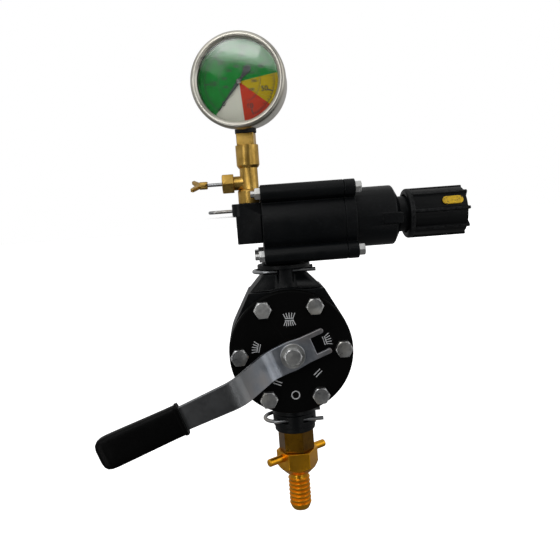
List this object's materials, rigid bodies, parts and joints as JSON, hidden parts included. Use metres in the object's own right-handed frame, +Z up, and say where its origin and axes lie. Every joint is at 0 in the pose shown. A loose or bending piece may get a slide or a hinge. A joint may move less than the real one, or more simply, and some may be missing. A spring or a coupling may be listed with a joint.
{
  "type": "sprayer pressure regulator and selector valve",
  "caption": "Sprayer control unit: pressure gauge and horizontal regulator with ribbed knob on a round lever-operated selector valve, with hose tail below.",
  "frame": {"origin": "centre of the rear mounting face, on the valve's axis", "axes": "+X to the right along the regulator towards its knob, +Y out of the back, +Z up towards the gauge"},
  "size_m": [0.2665, 0.0997, 0.3507],
  "materials": {
    "black_plastic": "semi-gloss moulded black",
    "zinc_steel": "zinc plated, slightly mottled",
    "stainless": "polished stainless",
    "brass": "machined brass",
    "dull_brass": "dull cast brass",
    "aged_brass": "aged brass",
    "vinyl": "dipped vinyl, satin",
    "yellow_paint": "yellow insert",
    "seal_rubber": "matte black rubber",
    "white_seal": "white fluoropolymer",
    "dial_print": "printed sectors",
    "window_glass": "clear",
    "pointer_paint": "matte black"
  },
  "bodies": {
    "housing": {"bonnet": "black_plastic", "bourdon_tube": "brass", "case_collar": "seal_rubber", "cover_bolts": "zinc_steel", "cover_seal": "seal_rubber", "fill_plug": "seal_rubber", "fork_clip_gauge": "zinc_steel", "fork_clip_regulator": "zinc_steel", "fork_clip_tail": "zinc_steel", "gauge_bezel": "stainless", "gauge_case": "stainless", "gauge_dial": "dial_print", "gauge_socket": "dull_brass", "gauge_window": "window_glass", "gland_bush": "brass", "gland_nut": "dull_brass", "gland_packing": "white_seal", "hose_tail": "brass", "inlet_head": "black_plastic", "isolator_body": "dull_brass", "isolator_oring": "seal_rubber", "isolator_union": "dull_brass", "movement_frame": "brass", "regulator_body": "black_plastic", "seat_ring": "stainless", "seat_seals": "white_seal", "spigot_oring": "seal_rubber", "spring": "zinc_steel", "stem_oring": "seal_rubber", "tail_nipple": "aged_brass", "tail_oring": "seal_rubber", "tail_washer": "seal_rubber", "through_bolts": "zinc_steel", "through_nuts": "zinc_steel", "valve_body": "black_plastic", "valve_cover": "black_plastic", "window_gasket": "seal_rubber"},
    "lever_set": {"lever": "zinc_steel", "lever_grip": "vinyl", "lever_washer": "zinc_steel", "lever_bolt": "zinc_steel", "spindle": "zinc_steel", "rotor": "brass"},
    "follower": {"spring_follower": "brass"},
    "knob_set": {"knob": "black_plastic", "adjusting_screw": "zinc_steel", "knob_mark": "yellow_paint", "knob_screw": "zinc_steel"},
    "piston_set": {"piston": "brass", "piston_oring": "seal_rubber"},
    "needle": {"needle_tip": "dull_brass"},
    "wing_set": {"needle_stem": "dull_brass", "wing_handle": "dull_brass"},
    "pointer_set": {"gauge_pointer": "pointer_paint", "movement_pinion": "brass"},
    "sector": {"movement_sector": "brass"},
    "nut_set": {"swivel_nut": "brass", "tommy_pins": "brass"}
  },
  "joints": [
    {"name": "lever_turn", "type": "hinge", "parent": "housing", "child": "lever_set", "pos_m": [0, -0.06, 0], "axis": [0, -1, 0], "continuous": true},
    {"name": "follower_slide", "type": "slide", "parent": "housing", "child": "follower", "axis": [1, 0, 0], "range_m": [-0.0045, 0.003], "deforming": ["spring"]},
    {"name": "knob_turn", "type": "hinge", "parent": "follower", "child": "knob_set", "pos_m": [0.11, -0.029, 0.09], "axis": [1, 0, 0], "range_deg": [-1081, 721]},
    {"name": "piston_lift", "type": "slide", "parent": "housing", "child": "piston_set", "axis": [1, 0, 0], "range_m": [0, 0.003], "stiffness_N_per_m": 2000, "springref_m": -0.002},
    {"name": "needle_slide", "type": "slide", "parent": "housing", "child": "needle", "axis": [-1, 0, 0], "range_m": [-0.0015, 0.0015]},
    {"name": "wing_turn", "type": "hinge", "parent": "needle", "child": "wing_set", "pos_m": [-0.05, -0.029, 0.121], "axis": [-1, 0, 0], "range_deg": [-541, 541]},
    {"name": "pointer_turn", "type": "hinge", "parent": "housing", "child": "pointer_set", "pos_m": [-0.0203, -0.029, 0.1915], "axis": [0.1736, 0.9848, 0], "range_deg": [0, 300], "stiffness_Nm_per_rad": 0.0005, "springref_deg": -2.86},
    {"name": "sector_turn", "type": "hinge", "parent": "housing", "child": "sector", "pos_m": [-0.0203, -0.029, 0.1783], "axis": [0.1736, 0.9848, 0], "range_deg": [-66.7, 0.1]},
    {"name": "nut_turn", "type": "hinge", "parent": "housing", "child": "nut_set", "pos_m": [0, -0.029, -0.0885], "axis": [0, 0, -1], "continuous": true}
  ],
  "couplings": [
    {"joint": "knob_turn", "follows": "follower_slide", "rad_per_m": 4188.8},
    {"joint": "wing_turn", "follows": "needle_slide", "rad_per_m": 6283.2},
    {"joint": "sector_turn", "follows": "pointer_turn", "ratio": -0.22222}
  ]
}
